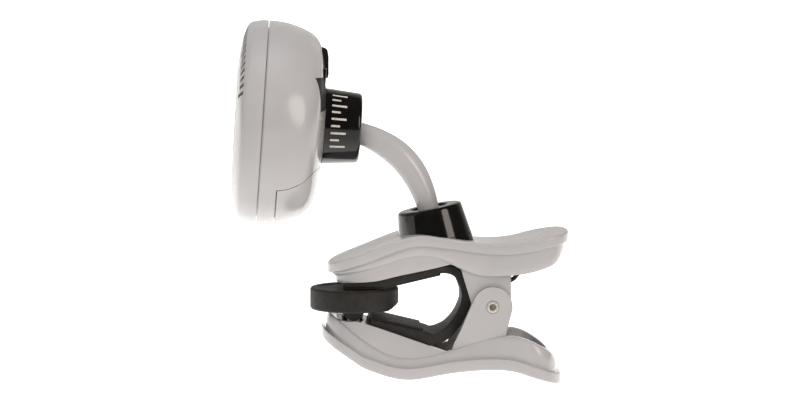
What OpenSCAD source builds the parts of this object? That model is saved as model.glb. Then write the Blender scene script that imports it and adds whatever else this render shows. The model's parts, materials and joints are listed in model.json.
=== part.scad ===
// Clip-on tuner: a sprung clamp with a swivel pad, a curved arm with a ball at
// each end, and an oval head with a display.
// Origin: middle of the swivel pad's grip face. +X runs to the squeeze handles,
// +Z up to the head.

/* [Head] */
// Width of the oval head
head_w = 57; // [54:0.5:60]
// Height of the oval head
head_h = 49; // [48:0.25:50]
// Depth of the front shell in front of the parting line
front_depth = 7.5; // [7.2:0.1:8]
// Depth of the rear shell behind the parting line
rear_depth = 14.7; // [14.4:0.1:15.2]
// How far the head's top leans back towards the arm, in degrees
head_lean = 4; // [0:0.5:6]
// Wall thickness of the two head shells
shell_wall = 1.6; // [1.2:0.1:1.8]
// Height of the display lens
lens_h = 34; // [30:0.5:35]

/* [Ball joints] */
// Diameter of the ball at each end of the arm
ball_d = 9.6; // [9:0.1:9.8]
// Radial clearance between a ball and its seat
ball_gap = 0.06; // [0.03:0.01:0.1]
// How far the lower collar leans towards the jaws, in degrees
collar_lean = 11; // [8:0.5:14]
// Thickness of the arm at its necks
neck_t = 4.5; // [4:0.1:4.8]
// How much thicker the arm is at its middle
arm_swell = 2; // [1:0.1:2.5]

/* [Clamp] */
// Thickness of the rim that runs round each lever
rim_t = 2.3; // [2:0.1:2.6]
// Wall thickness inside the levers
lever_wall = 1.7; // [1.4:0.1:2]
// Diameter of the pivot pin
pin_d = 3; // [2.6:0.1:3.2]
// Diameter of the swivel pad
pad_d = 21.4; // [20:0.2:22]
// Width of the liner strap on the jaws
liner_w = 16.4; // [14:0.2:17]
// Gap between the swivel pad and the upper liner when the clamp is closed
jaw_gap = 0.2; // [0.15:0.05:0.3]

/* [Hidden] */

$fn = 64;
eps = 0.01;
body_grey = "#bfbebd";
gloss_black = "#1c1a19";
rubber_black = "#34302d";
bright_metal = "#c9c6bf";

// Places, in the part's own frame
head_pos = [-21.6, 0, 40];
pivot_pos = [33, 0, -4.25];
lower_ball = [19, 0, 15];
ball_r = ball_d / 2;
ball_x = 18.65; // along the head's axis, from the parting line to the upper ball
head_axis = [cos(head_lean), 0, -sin(head_lean)];
upper_ball = head_pos + ball_x * head_axis;
head_r = head_h / 2;
oval = head_w / head_h;
lens_r = lens_h / 2;
part_gap = 0.2;

// Control points of the arm's centre line, from the upper ball to the lower one
arm_pull = 14.5;
arm_points = [upper_ball, upper_ball + arm_pull * [cos(16), 0, -sin(16)],
    lower_ball + arm_pull * [-sin(12), 0, cos(12)], lower_ball];

// Parts of the two sockets, along each collar's axis from the ball's middle
seat_r = 6.2;
seat_gap = 0.06;
seat_top = 2.95;
seat_floor = 5.05;
lip_r = 5;
spigot_r = 8.3;
plate_t = 1.3;
socket_screw_ring = 7.3;
lower_collar_base = 3.2;
lower_collar_r = 9.5;
upper_collar_base = 4.75;
upper_collar_r = 9.15;
upper_collar_top = 4.5;

// Side profiles of the levers, [x, z]
upper_top = [[-6.5, 6.1], [1.7, 9], [13.3, 13.1], [21.1, 12.7], [30.4, 11.2], [38.2, 11.2],
    [45.8, 12.8], [51.8, 14]];
upper_belly = [[-6.5, 2.6], [4.7, 5.5], [13.3, 8.1], [20, 7.6], [25.5, 4.9], [30.5, 3.2],
    [38, 3.5], [49.2, 5.7], [52, 6.6]];
upper_inner = [[-2.9, 1.6], [4.7, 2], [10.3, 3.4], [20.4, 5.65]];
lower_bottom = [[-8, -10], [-5.6, -13.4], [2.6, -19], [12.1, -21.3], [24.2, -19.8],
    [36.3, -19.4], [44, -21.4], [50.2, -23.6]];
lower_belly = [[-8, -5], [-5.2, -6.4], [1.5, -11.5], [7.6, -15.2], [14, -16.4], [22.9, -14.9],
    [30.4, -12.6], [37, -11.7], [41.4, -12.1], [47.7, -16], [50.2, -18.4]];
lower_inner = [[-5, -7.2], [-1.8, -7.6], [2.8, -8.1], [21.4, -14.7]];
// Half of the outline of a lever seen from above, [x, y]
upper_plan = [[-6.5, 0], [-5.9, 4.4], [-3.2, 8.6], [3, 11], [13, 11.5], [21.5, 10.7],
    [30, 9], [36.5, 10.6], [43, 12.4], [48.6, 10.6], [51.2, 6], [51.8, 0]];
lower_plan = [[-8, 0], [-7.4, 4.4], [-4.6, 8.4], [2, 10.8], [12, 11.2], [21.5, 10.5],
    [30, 9], [36.5, 10.6], [42, 12.2], [46.8, 10.6], [49.5, 6], [50.2, 0]];
belly_inset = 1.1;
inner_inset = 2;

// Ears and pin
ear_r = 4.8;
upper_ear = [4.9, 6.4];
lower_ear = [6.7, 7.9];
pin_r = pin_d / 2;
pin_half = 8.1;

// Torsion spring
wire_r = 0.55;
coil_r = 2.7;
coil_turns = 4;
coil_start = 125;
coil_half = 3.6;

// Swivel pad
pad_r = pad_d / 2;
pad_t = 4.3;
pad_plate_t = 1;
barrel_pos = [-0.4, 0, -7];
barrel_r = 2.3;
barrel_half = 4;
pad_pin_r = 0.8;

// Liner strap, [x, z]
grip_t = 0.5;
bend_half = 4.7;
bend_outer = [[20.45, 5.6], [22.1, 5.6], [25, 4.7], [27, 1.4], [28, -2.3], [26.6, -6.4],
    [23.8, -10], [20.2, -12.6]];
bend_inner = [[19.6, -10.9], [22.1, -9.2], [24.5, -6.4], [25.7, -3.1], [25.6, -0.6], [24.4, 2.3],
    [22.9, 3.5], [20.45, 3.95]];

// Head shells, and what they hold
rear_profile = dome(head_r, rear_depth, 3);
front_profile = dome(head_r, front_depth, 3.8);
rear_hollow = dome(head_r - shell_wall, rear_depth - shell_wall, 3);
front_hollow = dome(head_r - shell_wall, front_depth - shell_wall, 3.8);
collar_seat_x = 13.9;
lip_gap = 0.25;
lip_t = 1.35;
ledge_r = lens_r - 1.5;
lens_back = 5.7;
bay_floor = 3.6;
bay_wall = 1.2;
bay_top = 0;
battery_r = 10;
battery_z = -10.3;
door_line = [[4, -14.6], [6.2, -14.1], [8.1, -13.5], [10.2, -11.8], [11.6, -10.1], [13, -9.5]];
door_gap = 0.15;
case_screw_y = 16.4;
case_screw_z = -14.4;
boss_r = 2.1;
arch_r = [11.4, 19.1];
arch_half = 57;
button_angle = 40;
button_ring = 15.3;
power_z = -19.4;

function catmull(a, b, c, d, t) =
    0.5 * (2 * b + (c - a) * t + (2 * a - 5 * b + 4 * c - d) * t * t
    + (3 * b - a - 3 * c + d) * t * t * t);

// A smooth curve through a list of points
function spline(p, steps = 4) = [
    for (i = [0:len(p) - 2]) for (k = [0:steps - 1])
        catmull(p[max(i - 1, 0)], p[i], p[i + 1], p[min(i + 2, len(p) - 1)], k / steps),
    p[len(p) - 1]];

function shifted(p, dz) = [for (q = p) [q[0], q[1] + dz]];
function reversed(p) = [for (i = [len(p) - 1:-1:0]) p[i]];
function mirrored(p) = [for (q = reversed(p)) [q[0], -q[1]]];

// A rounded dome's side profile, [distance from the axis, depth]
function dome(r, d, power, n = 10) = [for (i = [0:n]) let (a = 90 * i / n)
    [r * pow(cos(a), 2 / power), d * pow(sin(a), 2 / power)]];

// A flat shape in [x, z], as thick as w, with its middle on y = 0
module side_slab(points, w) {
    rotate([90, 0, 0])
        linear_extrude(w, center = true)
            polygon(points);
}

// What a side profile and a plan outline have in common
module lever_layer(profile, plan, inset) {
    intersection() {
        side_slab(profile, 40);
        translate([0, 0, -40])
            linear_extrude(80)
                offset(delta = -inset)
                    polygon(concat(spline(plan), mirrored(spline(plan))));
    }
}

module across(y, r, h) {
    translate([0, y, 0])
        rotate([90, 0, 0])
            cylinder(r = r, h = h, center = true);
}

module in_head() {
    translate(head_pos)
        rotate([0, head_lean, 0])
            children();
}

// Turns the Z axis of a revolved piece into the head's back-pointing axis
module along_head() {
    rotate([0, 90, 0])
        children();
}

module in_lower_socket() {
    translate(lower_ball)
        rotate([0, -collar_lean, 0])
            children();
}

module in_upper_socket() {
    translate(upper_ball)
        rotate([0, head_lean + 90, 0])
            children();
}

// ---- Clamp levers ----

module jaw_ribs(x_list) {
    cube([60, 1.4, 60], center = true);
    for (x = x_list)
        translate([x, 0, 0])
            cube([1.4, 40, 60], center = true);
}

module upper_pocket() {
    roof = shifted(spline(upper_top), -rim_t - 0.1);
    floor_z = -12;
    difference() {
        lever_layer(concat(roof, [[51.8, floor_z], [-6.5, floor_z]]), upper_plan,
            inner_inset + lever_wall);
        translate([-6, 0, 0])
            jaw_ribs([6, 12.5]);
        translate([24.5, 0, 0])
            cube([lever_wall, 40, 60], center = true);
    }
}

module upper_jaw() {
    top = spline(upper_top);
    color(body_grey)
    difference() {
        union() {
            lever_layer(concat(top, reversed(shifted(top, -rim_t))), upper_plan, 0);
            lever_layer(concat(shifted(top, -rim_t / 2), reversed(spline(upper_belly))),
                upper_plan, belly_inset);
            lever_layer(concat(shifted(spline([for (i = [0:3]) upper_top[i]]), -rim_t),
                reversed(spline(upper_inner))), upper_plan, inner_inset);
        }
        upper_pocket();
        in_lower_socket() {
            translate([0, 0, -lower_collar_base])
                cylinder(r = lower_collar_r + 0.1, h = 12);
            translate([0, 0, -8])
                cylinder(r = spigot_r + 0.08, h = 12);
        }
        for (s = [-1, 1])
            translate([30, s * (upper_ear[1] + lower_ear[1] + 0.6) / 2, -8])
                cube([16, lower_ear[1] - upper_ear[1] + 0.2, 20], center = true);
    }
    color(body_grey)
    for (s = [-1, 1])
        upper_ear(s);
}

module upper_ear(side) {
    y = side * (upper_ear[0] + upper_ear[1]) / 2;
    t = upper_ear[1] - upper_ear[0];
    difference() {
        union() {
            translate([0, y, 0])
                side_slab([[24.6, 8.5], [25.7, 4.1], [28.25, -3.6], [33, -6], [36.9, -3.2],
                    [37.2, 2.5], [38.6, 8.5]], t);
            translate(pivot_pos)
                across(y, ear_r, t);
        }
        translate(pivot_pos)
            across(y, pin_r + 0.05, t + 1);
    }
}

module lower_pocket() {
    floor_line = shifted(spline(lower_bottom), rim_t + 0.1);
    roof_z = 4;
    difference() {
        lever_layer(concat(floor_line, [[50.2, roof_z], [-8, roof_z]]), lower_plan,
            inner_inset + lever_wall);
        translate([-4, 0, 0])
            jaw_ribs([6.4, 13, 20]);
        translate([-2, 0, -10])
            cube([11, 40, 30], center = true);
        translate([24, 0, 0])
            cube([lever_wall, 40, 60], center = true);
    }
}

module lower_jaw() {
    bottom = spline(lower_bottom);
    color(body_grey)
    difference() {
        union() {
            lever_layer(concat(bottom, reversed(shifted(bottom, rim_t))), lower_plan, 0);
            lever_layer(concat(shifted(bottom, rim_t / 2), reversed(spline(lower_belly))),
                lower_plan, belly_inset);
            lever_layer(concat(shifted(spline([for (i = [1:4]) lower_bottom[i]]), rim_t),
                reversed(spline(lower_inner))), lower_plan, inner_inset);
            for (s = [-1, 1])
                lower_ear(s);
            for (s = [-1, 1])
                translate(barrel_pos)
                    across(s * 5.1, 1.5, 1.6);
        }
        lower_pocket();
        translate(pivot_pos)
            across(0, pin_r + 0.03, 30);
        translate(barrel_pos) {
            across(0, barrel_r + 0.3, 2 * barrel_half + 0.4);
            across(0, pad_pin_r + 0.02, 11.8);
        }
        // Room for the pad above its hinge
        translate([-12, -20, barrel_pos[2] + 1.6])
            cube([16, 40, 10]);
    }
}

module lower_ear(side) {
    y = side * (lower_ear[0] + lower_ear[1]) / 2;
    t = lower_ear[1] - lower_ear[0];
    translate([0, y, 0])
        side_slab([[28.3, -3.6], [22.9, -15.1], [22.4, -18], [36.6, -18], [35.8, -11.7],
            [37.5, -5.8]], t);
    translate(pivot_pos)
        across(y, ear_r, t);
}

module pivot_pin() {
    color(bright_metal)
    translate(pivot_pos)
        difference() {
            across(0, pin_r, 2 * pin_half);
            for (s = [-1, 1])
                across(s * pin_half, 0.8, 4);
        }
}

// A round ring of the wire at p, square to the way from a to b
function wire_ring(p, a, b, r, sides) =
    let (d = (b - a) / norm(b - a), u = cross(d, [0, 0, 1]),
        v = norm(u) < 0.1 ? [1, 0, 0] : u / norm(u), w = cross(d, v))
    [for (k = [0:sides - 1]) p + r * (cos(360 * k / sides) * v + sin(360 * k / sides) * w)];

module sweep(rings) {
    sides = len(rings[0]);
    last = len(rings) - 1;
    polyhedron(
        points = [for (ring = rings) each ring],
        faces = concat(
            [[for (k = [0:sides - 1]) k]],
            [for (i = [0:last - 1]) for (k = [0:sides - 1]) each [
                [i * sides + k, (i + 1) * sides + k, (i + 1) * sides + (k + 1) % sides],
                [i * sides + k, (i + 1) * sides + (k + 1) % sides, i * sides + (k + 1) % sides]]],
            [[for (k = [sides - 1:-1:0]) last * sides + k]]));
}

// Points of the torsion spring: a leg, the coil and the other leg
function spring_path() = let (steps = 16 * coil_turns,
    turn = 360 * (coil_turns + 1) - 2 * coil_start) concat(
    [pivot_pos + [11, -coil_half, 13.3], pivot_pos + [5.8, -coil_half, 6.7]],
    [for (i = [0:steps]) let (a = coil_start + turn * i / steps)
        pivot_pos + [coil_r * cos(a), coil_half * (2 * i / steps - 1), coil_r * sin(a)]],
    [pivot_pos + [6, coil_half, -7.5], pivot_pos + [11.2, coil_half, -13.8]]);

module torsion_spring() {
    path = spring_path();
    n = len(path) - 1;
    color(gloss_black)
    sweep([for (i = [0:n])
        wire_ring(path[i], path[max(i - 1, 0)], path[min(i + 1, n)], wire_r, 8)]);
}

// ---- Liner and swivel pad ----

module upper_liner() {
    color(rubber_black)
    side_slab(concat(spline(upper_inner), [[20.4, 3.4 + grip_t], [9.6, 0.95 + grip_t],
        [7, jaw_gap + grip_t], [-2.9, jaw_gap + grip_t]]), liner_w);
}

module upper_grip() {
    color(rubber_black)
    side_slab([[-2.9, jaw_gap], [7, jaw_gap], [9.6, 0.95], [20.4, 3.4], [20.4, 3.4 + grip_t],
        [9.6, 0.95 + grip_t], [7, jaw_gap + grip_t], [-2.9, jaw_gap + grip_t]], liner_w - 0.8);
}

module lower_liner() {
    color(rubber_black)
    side_slab(concat([[3.9, -6.9], [15.9, -9.8], [19.6, -10.9], [20.2, -12.6]],
        [for (q = reversed(spline(lower_inner))) if (q[0] > 3.2 && q[0] < 20.2) q + [0, 0.04]]),
        liner_w);
}

module lower_grip() {
    color(rubber_black)
    side_slab([[3.9, -6.9], [3.9, -6.4], [16.2, -9.37], [16.2, -9.89], [15.9, -9.8]],
        liner_w - 0.8);
}

module liner_bend() {
    color(rubber_black)
    side_slab(concat(spline(bend_outer), spline(bend_inner)), 2 * bend_half);
}

module pad_pin() {
    color(bright_metal)
    translate(barrel_pos)
        across(0, pad_pin_r, 11.6);
}

module pad_plate() {
    color(gloss_black)
    difference() {
        union() {
            translate([0, 0, -pad_t - pad_plate_t])
                cylinder(r = pad_r - 2.6, h = pad_plate_t);
            translate(barrel_pos)
                across(0, barrel_r, 2 * barrel_half);
            translate([barrel_pos[0] - 1.6, -barrel_half, barrel_pos[2]])
                cube([3.2, 2 * barrel_half, 2]);
        }
        translate(barrel_pos)
            across(0, pad_pin_r + 0.05, 2 * barrel_half + 1);
    }
}

module swivel_pad() {
    color(rubber_black)
    difference() {
        translate([0, 0, -pad_t])
            rotate_extrude()
                polygon([[0, 0], [pad_r - 1.4, 0], [pad_r - 0.25, 1], [pad_r, 1.6],
                    [pad_r, pad_t - 0.4], [pad_r - 0.3, pad_t], [pad_r - 1.6, pad_t],
                    [pad_r - 2.2, pad_t - 0.35], [0, pad_t - 0.35]]);
        translate([0, 0, -pad_t - 1])
            cylinder(r = 1.2, h = 2.2);
    }
}

// ---- Sockets and arm ----

// A collar's section, from its spigot to its mouth, [radius, height above the ball]
module collar(base_z, base_r, top_r, top_z, corner) {
    rotate_extrude()
        polygon(concat(
            [[seat_r + seat_gap, -seat_floor], [spigot_r, -seat_floor], [spigot_r, base_z],
                [base_r, base_z]],
            [for (a = [0:15:90]) [top_r - corner + corner * cos(a), top_z - corner + corner * sin(a)]],
            [[lip_r + 0.9, top_z], [lip_r, top_z - 0.9], [lip_r, seat_top + 0.08],
                [seat_r + seat_gap, seat_top + 0.08]]));
}

module ball_seat() {
    difference() {
        translate([0, 0, -seat_floor])
            cylinder(r = seat_r, h = seat_floor + seat_top);
        sphere(r = ball_r + ball_gap);
        translate([0, 0, 0.4])
            cylinder(r1 = 3, r2 = 4.2, h = seat_top);
    }
}

module socket_plate() {
    difference() {
        translate([0, 0, -seat_floor - plate_t - 0.05])
            cylinder(r = spigot_r, h = plate_t);
        socket_screw_places()
            translate([0, 0, -seat_floor - 3])
                cylinder(r = 0.52, h = 4);
    }
}

module socket_screw_places() {
    for (a = [30:120:270])
        rotate([0, 0, a])
            translate([socket_screw_ring, 0, 0])
                children();
}

module socket_screws() {
    socket_screw_places() {
        translate([0, 0, -seat_floor - 1.35])
            cylinder(r = 0.5, h = 3);
        translate([0, 0, -seat_floor - 2.05])
            cylinder(r = 0.95, h = 0.7);
    }
}

module collar_with_holes(base_z, base_r, top_r, top_z, corner) {
    difference() {
        collar(base_z, base_r, top_r, top_z, corner);
        socket_screw_places()
            translate([0, 0, -seat_floor - 1])
                cylinder(r = 0.5, h = 2.65);
    }
}

module lower_collar() {
    color(gloss_black)
    in_lower_socket()
        collar_with_holes(-lower_collar_base, lower_collar_r, 7.75, 4.44, 0.8);
}

module lower_socket_plate() {
    color(body_grey)
    in_lower_socket()
        socket_plate();
}

module lower_socket_screws() {
    color(bright_metal)
    in_lower_socket()
        socket_screws();
}

module lower_ball_seat() {
    color(gloss_black)
    in_lower_socket()
        ball_seat();
}

module upper_collar() {
    color(gloss_black)
    in_upper_socket()
        collar_with_holes(-upper_collar_base, upper_collar_r, 8.35, upper_collar_top, 1.2);
}

module upper_socket_plate() {
    color(body_grey)
    in_upper_socket()
        socket_plate();
}

module upper_socket_screws() {
    color(bright_metal)
    in_upper_socket()
        socket_screws();
}

module upper_ball_seat() {
    color(gloss_black)
    in_upper_socket()
        ball_seat();
}

function bezier(p, t) = pow(1 - t, 3) * p[0] + 3 * t * pow(1 - t, 2) * p[1]
    + 3 * t * t * (1 - t) * p[2] + pow(t, 3) * p[3];

function bezier_way(p, t) = let (d = bezier(p, t + eps) - bezier(p, t - eps)) d / norm(d);

// One oval ring of the arm at t along its centre line
function arm_ring(t, sides) = let (
    way = bezier_way(arm_points, t),
    out = [-way[2], 0, way[0]],
    half = (neck_t + arm_swell * sin(180 * t)) / 2)
    [for (k = [0:sides - 1]) let (a = 360 * k / sides)
        bezier(arm_points, t) + half * sin(a) * out + [0, (half + 0.3) * cos(a), 0]];

module swivel_arm() {
    color(body_grey)
    union() {
        sweep([for (i = [0:18]) arm_ring(0.09 + 0.82 * i / 18, 20)]);
        translate(upper_ball)
            sphere(r = ball_r);
        translate(lower_ball)
            sphere(r = ball_r);
    }
}

// ---- Head ----

// Stretches a round revolved shape to the head's oval; w is its stretched width
module to_oval(w) {
    resize([0, w, 0])
        children();
}

// Keeps a shape true inside to_oval
module unstretched() {
    scale([1, 1 / oval, 1])
        children();
}

module revolved(profile, start) {
    along_head()
        rotate_extrude($fn = 72)
            polygon(concat([[0, start]], profile));
}

module door_space(grow) {
    p = [for (q = door_line) q + [-grow, grow]];
    side_slab(concat(p, [[20, p[5][1]], [20, -30], [p[0][0], -30]]), 2 * head_w);
}

module arch_space(grow) {
    along_head()
        rotate([0, 0, 180 - arch_half - grow * 3])
            rotate_extrude(angle = 2 * (arch_half + grow * 3))
                polygon([[arch_r[0] - grow, 9], [arch_r[1] + grow, 9], [arch_r[1] + grow, 20],
                    [arch_r[0] - grow, 20]]);
}

module case_screw_places() {
    for (s = [-1, 1])
        translate([0, s * case_screw_y, case_screw_z])
            along_head()
                children();
}

module battery_bay() {
    intersection() {
        revolved(dome(head_r - shell_wall / 2, rear_depth - shell_wall / 2, 3), 0);
        union() {
            translate([bay_floor, -40, -40])
                cube([bay_wall, 80, 40 + bay_top + bay_wall]);
            translate([bay_floor, -12, bay_top])
                cube([6, 24, bay_wall]);
            translate([8.8, -12, -9])
                cube([0.9, 24, 9 + bay_top + bay_wall]);
        }
    }
}

module rear_shell() {
    color(body_grey)
    in_head()
        to_oval(head_w)
            difference() {
                union() {
                    difference() {
                        union() {
                            revolved(rear_profile, 0);
                            translate([-lip_t, 0, 0])
                                along_head()
                                    cylinder(r = head_r - shell_wall - lip_gap, h = 2);
                        }
                        revolved(rear_hollow, 0);
                        translate([-2, 0, 0])
                            along_head()
                                cylinder(r = head_r - shell_wall - lip_gap - 1, h = 4);
                    }
                    battery_bay();
                    unstretched()
                        case_screw_places()
                            translate([0, 0, -1.9])
                                cylinder(r = boss_r, h = bay_floor + 2, $fn = 24);
                }
                translate([-part_gap, 0, 0])
                    along_head()
                        difference() {
                            cylinder(r = head_r + 1, h = 2 * part_gap);
                            translate([0, 0, -1])
                                cylinder(r = head_r - shell_wall - lip_gap, h = 3);
                        }
                unstretched()
                    rear_cuts();
            }
}

module rear_cuts() {
    intersection() {
        door_space(door_gap);
        door_reach();
    }
    arch_space(door_gap);
    along_head()
        cylinder(r = spigot_r + 0.08, h = 20);
    translate([collar_seat_x, 0, 0])
        along_head()
            cylinder(r = upper_collar_r + 0.1, h = 4);
    case_screw_places()
        translate([0, 0, -4])
            cylinder(r = 1, h = 10, $fn = 24);
}

// The door takes the outer wall only, not the bay behind it
module door_reach() {
    difference() {
        cube(100, center = true);
        scale([1, oval, 1])
            revolved(dome(head_r - shell_wall - door_gap, rear_depth - shell_wall - door_gap, 3), 0);
    }
}

module battery_door() {
    color(body_grey)
    in_head()
        intersection() {
            to_oval(head_w)
                difference() {
                    revolved(rear_profile, 0);
                    revolved(rear_hollow, 0);
                }
            door_space(0);
        }
}

module front_shell() {
    color(body_grey)
    in_head()
        to_oval(head_w)
            difference() {
                union() {
                    difference() {
                        mirror([1, 0, 0])
                            revolved(front_profile, 0);
                        mirror([1, 0, 0])
                            revolved(front_hollow, 0);
                    }
                    translate([-lens_back, 0, 0])
                        along_head()
                            cylinder(r = lens_r + 2, h = 1);
                    unstretched()
                        case_screw_places()
                            translate([0, 0, -5.2])
                                cylinder(r = boss_r, h = 3.2, $fn = 24);
                }
                translate([-20, 0, 0])
                    along_head()
                        cylinder(r = lens_r + 0.1, h = 20 - lens_back);
                translate([-20, 0, 0])
                    along_head()
                        cylinder(r = ledge_r, h = 20);
                translate([-part_gap, 0, 0])
                    along_head()
                        cylinder(r = head_r + 1, h = 1);
                unstretched() {
                    case_screw_places()
                        translate([0, 0, -5])
                            cylinder(r = 0.8, h = 4, $fn = 24);
                    translate([-20, 0, power_z])
                        along_head()
                            cylinder(r = 2, h = 20, $fn = 32);
                }
            }
}

module display_lens() {
    color(gloss_black)
    in_head()
        to_oval(lens_h * oval)
            intersection() {
                mirror([1, 0, 0])
                    revolved(front_profile, 0);
                translate([-20, 0, 0])
                    along_head()
                        cylinder(r = lens_r, h = 20 - lens_back - 0.05, $fn = 72);
            }
}

module head_block(x, thick, y, z, w, h) {
    in_head()
        translate([x, y - w / 2, z - h / 2])
            cube([thick, w, h]);
}

module display_panel() {
    color("#10151a")
    head_block(-4.6, 1.4, 0, 1, 32, 24);
}

module light_diffuser() {
    color("white")
    head_block(-3.1, 0.9, 0, 1, 32, 24);
}

module circuit_board() {
    color("#1f5a35")
    in_head()
        difference() {
            translate([-2.1, 0, 0])
                rotate([90, 0, 90])
                    linear_extrude(1)
                        polygon([for (a = [0:7.5:352.5]) [24.4 * cos(a), 20.6 * sin(a)]]);
            case_screw_places()
                translate([0, 0, -5])
                    cylinder(r = 2.5, h = 8);
        }
}

module board_chips() {
    color(gloss_black) {
        head_block(-1.1, 1, -8, 8, 7, 7);
        head_block(-1.1, 1.2, 9, 9, 5, 4);
        head_block(-1.1, 1.6, 2, 12, 3.2, 1.5);
    }
}

module piezo_sensor() {
    color("#c8a24a")
    in_head()
        translate([10, 0, 0])
            along_head() {
                cylinder(r = 6.5, h = 0.3);
                translate([0, 0, -0.2])
                    cylinder(r = 4.5, h = 0.2);
            }
}

module coin_battery() {
    color(bright_metal)
    in_head()
        translate([5.3, 0, battery_z])
            along_head() {
                cylinder(r = battery_r - 1.2, h = 0.4);
                translate([0, 0, 0.4])
                    cylinder(r = battery_r, h = 2.8);
            }
}

module battery_positive_clip() {
    color(bright_metal)
    head_block(8.52, 0.24, 0, -6.5, 6, 9);
}

module battery_negative_spring() {
    color(bright_metal)
    in_head()
        for (s = [-1, 1])
            translate([4.82, s * 3 - 1, battery_z - 4])
                cube([0.44, 2, 9]);
}

module case_screws() {
    color(bright_metal)
    in_head()
        case_screw_places() {
            translate([0, 0, -4.6])
                cylinder(r = 0.78, h = 4.6 + bay_floor + bay_wall);
            translate([0, 0, bay_floor + bay_wall])
                cylinder(r = 1.7, h = 1.2);
        }
}

// ---- Controls ----

module control_panel() {
    color(gloss_black)
    in_head()
        difference() {
            along_head()
                rotate([0, 0, 180 - arch_half])
                    rotate_extrude(angle = 2 * arch_half)
                        polygon([[arch_r[0], 11], [arch_r[1], 11], [arch_r[1], 12.1],
                            [15.2, 13.6], [arch_r[0], 14.3]]);
            translate([12.4, -6.2, 0])
                cube([4, 12.4, 30]);
            translate([10, -3.2, 14.2])
                cube([4, 6.4, 2.2]);
            for (s = [-1, 1])
                button_place(s)
                    cylinder(r = 2.7, h = 20);
        }
}

module button_place(side) {
    rotate([side * button_angle, 0, 0])
        translate([0, 0, button_ring])
            along_head()
                children();
}

module rear_button(side) {
    color(gloss_black)
    in_head()
        button_place(side) {
            translate([0, 0, 11.4])
                cylinder(r = 2.6, h = 2.4);
            translate([0, 0, 10.6])
                cylinder(r = 1.2, h = 1);
        }
}

module left_button() {
    rear_button(1);
}

module right_button() {
    rear_button(-1);
}

module button_switches() {
    color(gloss_black)
    in_head()
        for (s = [-1, 1])
            button_place(s)
                translate([-2, -2, 7.6])
                    cube([4, 4, 2.5]);
}

module slide_knob() {
    color(gloss_black)
    in_head() {
        difference() {
            translate([12.5, -4, 11.7])
                cube([1.9, 8, 7.1]);
            for (i = [-3:3])
                translate([14.2, i - 0.2, 11])
                    cube([1, 0.4, 9]);
        }
        translate([10.1, -1.2, 14.5])
            cube([2.6, 2.4, 1.6]);
    }
}

module slide_switch_body() {
    color(bright_metal)
    head_block(6.6, 3.4, 0, 15.3, 9, 3.6);
}

module power_button() {
    color(gloss_black)
    in_head()
        translate([-6.2, 0, power_z])
            along_head()
                cylinder(r = 1.9, h = 3.2, $fn = 48);
}

module power_switch() {
    color(bright_metal)
    head_block(-2.55, 0.4, 0, -18.8, 3, 2.6);
}

lower_jaw();
pivot_pin();
torsion_spring();
lower_liner();
lower_grip();
liner_bend();
pad_pin();
swivel_pad();
pad_plate();
upper_jaw();
upper_liner();
upper_grip();
lower_collar();
lower_socket_plate();
lower_socket_screws();
lower_ball_seat();
swivel_arm();
upper_ball_seat();
upper_collar();
upper_socket_plate();
upper_socket_screws();
rear_shell();
front_shell();
display_lens();
display_panel();
light_diffuser();
circuit_board();
board_chips();
piezo_sensor();
coin_battery();
battery_positive_clip();
battery_negative_spring();
battery_door();
case_screws();
control_panel();
slide_knob();
slide_switch_body();
left_button();
right_button();
button_switches();
power_button();
power_switch();
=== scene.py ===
import json
from math import cos, pi, radians, sin

import bmesh
import bpy
from mathutils import Matrix, Vector


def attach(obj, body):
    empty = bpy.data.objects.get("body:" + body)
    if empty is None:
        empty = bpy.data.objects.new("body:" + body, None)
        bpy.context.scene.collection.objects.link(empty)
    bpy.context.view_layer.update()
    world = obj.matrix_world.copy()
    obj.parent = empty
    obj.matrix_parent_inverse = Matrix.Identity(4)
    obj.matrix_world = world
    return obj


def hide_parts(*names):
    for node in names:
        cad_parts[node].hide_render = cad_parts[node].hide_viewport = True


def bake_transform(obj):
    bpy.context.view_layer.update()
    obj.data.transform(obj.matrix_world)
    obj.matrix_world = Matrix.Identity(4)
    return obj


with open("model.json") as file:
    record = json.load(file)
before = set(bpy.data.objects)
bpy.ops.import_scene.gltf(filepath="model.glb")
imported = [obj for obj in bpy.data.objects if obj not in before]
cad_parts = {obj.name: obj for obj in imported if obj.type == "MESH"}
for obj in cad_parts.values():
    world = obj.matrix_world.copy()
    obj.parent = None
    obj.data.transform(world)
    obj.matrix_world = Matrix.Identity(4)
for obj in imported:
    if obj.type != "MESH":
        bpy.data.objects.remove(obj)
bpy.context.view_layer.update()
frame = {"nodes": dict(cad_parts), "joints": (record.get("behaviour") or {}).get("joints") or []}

mm = 0.001

# places that the frame gives, in millimetres
joints = {joint["name"]: joint for joint in frame["joints"]}
pivot = Vector(joints["clamp_open"]["pos_m"]) / mm
lowerBall = Vector(joints["arm_spin"]["pos_m"]) / mm
upperBall = Vector(joints["head_spin"]["pos_m"]) / mm
barrel = Vector(joints["pad_tilt"]["pos_m"]) / mm
headBack = Vector(joints["head_spin"]["axis"])      # points from the display to the arm
headUp = Vector((-headBack.z, 0, headBack.x))
collarUp = Vector(joints["arm_spin"]["axis"])
sideways = Vector((0, 1, 0))
headDepth = 18.65      # from the head's middle to the upper ball
headMiddle = upperBall - headBack * headDepth


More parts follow.
